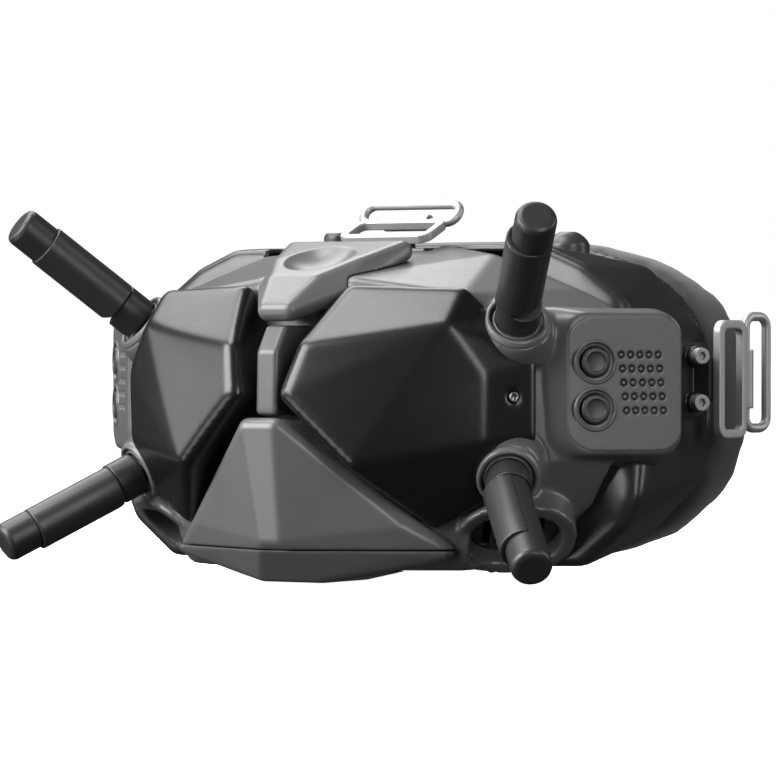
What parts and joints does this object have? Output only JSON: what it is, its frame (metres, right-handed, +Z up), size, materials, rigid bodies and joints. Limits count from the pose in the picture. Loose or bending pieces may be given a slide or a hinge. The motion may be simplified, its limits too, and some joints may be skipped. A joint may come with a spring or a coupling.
{
  "type": "first person view goggles",
  "caption": "Head-worn video goggles with faceted visor lobes, folding antennas, padded face frame, strap rings with hinged wire loops, and sliding eyepieces.",
  "frame": {"origin": "rear face of the face plate, on the midplane, level with the eyepiece axes", "axes": "+X to the wearer's left, +Y from the visor toward the wearer, +Z up"},
  "size_m": [0.1938, 0.1304, 0.1038],
  "materials": {
    "shell_grey": "satin moulded plastic",
    "cover_grey": "satin moulded plastic, lighter grey",
    "visor_black": "semi-gloss dark cover",
    "frame_black": "matte black moulded plastic",
    "face_foam": "soft foam under a knitted skin",
    "port_grey": "satin ring with a metal core",
    "antenna_black": "satin black",
    "antenna_sleeve": "satin dark grey",
    "button_black": "satin black",
    "strap_steel": "satin metal",
    "sensor_ring": "satin metal ring",
    "lens_glass": "clear lens",
    "display_glass": "black module",
    "board_green": "circuit board",
    "heat_sink": "bare fins"
  },
  "bodies": {
    "goggles": {"front_shell": "shell_grey", "rear_frame": "frame_black", "face_plate": "frame_black", "face_foam": "face_foam", "visor_right": "visor_black", "visor_left": "visor_black", "brow_cover": "cover_grey", "bridge_cover": "shell_grey", "nose_cover": "cover_grey", "lower_cover": "shell_grey", "side_panel_right": "shell_grey", "side_panel_left": "shell_grey", "intake_grilles": "frame_black", "status_sensor": "sensor_ring", "antenna_ports": "port_grey", "strap_bracket_right": "frame_black", "strap_bracket_left": "frame_black", "bracket_screws": "strap_steel", "strap_ring_right": "strap_steel", "strap_ring_left": "strap_steel", "strap_saddle_top": "frame_black", "strap_ring_top": "strap_steel", "optics_rods": "strap_steel", "main_board": "board_green", "heat_sink": "heat_sink", "fan_housing": "frame_black", "power_socket": "frame_black"},
    "collar_upper_right": {"antenna_collar_upper_right": "antenna_black"},
    "antenna_upper_right": {"antenna_core_upper_right": "antenna_black", "antenna_sleeve_upper_right": "antenna_sleeve"},
    "collar_upper_left": {"antenna_collar_upper_left": "antenna_black"},
    "antenna_upper_left": {"antenna_core_upper_left": "antenna_black", "antenna_sleeve_upper_left": "antenna_sleeve"},
    "collar_lower_right": {"antenna_collar_lower_right": "antenna_black"},
    "antenna_lower_right": {"antenna_core_lower_right": "antenna_black", "antenna_sleeve_lower_right": "antenna_sleeve"},
    "collar_lower_left": {"antenna_collar_lower_left": "antenna_black"},
    "antenna_lower_left": {"antenna_core_lower_left": "antenna_black", "antenna_sleeve_lower_left": "antenna_sleeve"},
    "button_right_upper": {"button_right_upper": "button_black"},
    "button_right_lower": {"button_right_lower": "button_black"},
    "button_left_upper": {"button_left_upper": "button_black"},
    "button_left_lower": {"button_left_lower": "button_black"},
    "joystick_knob": {"joystick_knob": "button_black"},
    "top_button": {"top_button": "button_black"},
    "loop_right": {"strap_loop_right": "strap_steel"},
    "loop_left": {"strap_loop_left": "strap_steel"},
    "loop_top": {"strap_loop_top": "strap_steel"},
    "eyepiece_unit_right": {"eyepiece_right": "frame_black", "lens_right": "lens_glass", "display_right": "display_glass"},
    "eyepiece_unit_left": {"eyepiece_left": "frame_black", "lens_left": "lens_glass", "display_left": "display_glass"},
    "fan": {"fan_rotor": "frame_black"}
  },
  "joints": [
    {"name": "swivel_upper_right", "type": "hinge", "parent": "goggles", "child": "collar_upper_right", "pos_m": [0.06, -0.0685, 0.021], "axis": [0.4917, -0.6293, 0.6018], "range_deg": [-45, 45]},
    {"name": "fold_upper_right", "type": "hinge", "parent": "collar_upper_right", "child": "antenna_upper_right", "pos_m": [0.06565, -0.07574, 0.02792], "axis": [0.2952, 0.7707, 0.5647], "range_deg": [0, 34]},
    {"name": "swivel_upper_left", "type": "hinge", "parent": "goggles", "child": "collar_upper_left", "pos_m": [-0.06, -0.0685, 0.021], "axis": [0.4917, 0.6293, -0.6018], "range_deg": [-45, 45]},
    {"name": "fold_upper_left", "type": "hinge", "parent": "collar_upper_left", "child": "antenna_upper_left", "pos_m": [-0.06565, -0.07574, 0.02792], "axis": [0.2952, -0.7707, -0.5647], "range_deg": [0, 34]},
    {"name": "swivel_lower_right", "type": "hinge", "parent": "goggles", "child": "collar_lower_right", "pos_m": [0.059, -0.0715, -0.021], "axis": [0.5026, -0.7451, -0.4384], "range_deg": [-45, 45]},
    {"name": "fold_lower_right", "type": "hinge", "parent": "collar_lower_right", "child": "antenna_lower_right", "pos_m": [0.06478, -0.08007, -0.02604], "axis": [0.7596, 0.1384, 0.6355], "range_deg": [-9, 25]},
    {"name": "swivel_lower_left", "type": "hinge", "parent": "goggles", "child": "collar_lower_left", "pos_m": [-0.059, -0.0715, -0.021], "axis": [0.5026, 0.7451, 0.4384], "range_deg": [-45, 45]},
    {"name": "fold_lower_left", "type": "hinge", "parent": "collar_lower_left", "child": "antenna_lower_left", "pos_m": [-0.06478, -0.08007, -0.02604], "axis": [0.7596, -0.1384, -0.6355], "range_deg": [0, 34]},
    {"name": "press_right_upper", "type": "slide", "parent": "goggles", "child": "button_right_upper", "axis": [-0.7431, 0.6691, 0], "range_m": [0, 0.0008], "stiffness_N_per_m": 500, "springref_m": -0.0006},
    {"name": "press_right_lower", "type": "slide", "parent": "goggles", "child": "button_right_lower", "axis": [-0.7431, 0.6691, 0], "range_m": [0, 0.0008], "stiffness_N_per_m": 500, "springref_m": -0.0006},
    {"name": "press_left_upper", "type": "slide", "parent": "goggles", "child": "button_left_upper", "axis": [0.7431, 0.6691, 0], "range_m": [0, 0.0008], "stiffness_N_per_m": 500, "springref_m": -0.0006},
    {"name": "press_left_lower", "type": "slide", "parent": "goggles", "child": "button_left_lower", "axis": [0.7431, 0.6691, 0], "range_m": [0, 0.0008], "stiffness_N_per_m": 500, "springref_m": -0.0006},
    {"name": "press_joystick", "type": "slide", "parent": "goggles", "child": "joystick_knob", "axis": [0, 0, -1], "range_m": [0, 0.001], "stiffness_N_per_m": 500, "springref_m": -0.0006},
    {"name": "press_top_button", "type": "slide", "parent": "goggles", "child": "top_button", "axis": [0, 0, -1], "range_m": [0, 0.001], "stiffness_N_per_m": 500, "springref_m": -0.0006},
    {"name": "swing_loop_right", "type": "hinge", "parent": "goggles", "child": "loop_right", "pos_m": [0.09323, -0.00157, 0.005], "axis": [0, 0, -1], "range_deg": [-35, 80]},
    {"name": "swing_loop_left", "type": "hinge", "parent": "goggles", "child": "loop_left", "pos_m": [-0.09323, -0.00157, 0.005], "axis": [0, 0, 1], "range_deg": [-35, 80]},
    {"name": "swing_loop_top", "type": "hinge", "parent": "goggles", "child": "loop_top", "pos_m": [0, -0.02453, 0.04817], "axis": [1, 0, 0], "range_deg": [-50, 70]},
    {"name": "eye_distance_right", "type": "slide", "parent": "goggles", "child": "eyepiece_unit_right", "axis": [1, 0, 0], "range_m": [-0.003, 0.003]},
    {"name": "eye_distance_left", "type": "slide", "parent": "goggles", "child": "eyepiece_unit_left", "axis": [-1, 0, 0], "range_m": [-0.003, 0.003]},
    {"name": "fan_spin", "type": "hinge", "parent": "goggles", "child": "fan", "pos_m": [0, -0.064, -0.016], "axis": [0, -1, 0], "continuous": true}
  ]
}
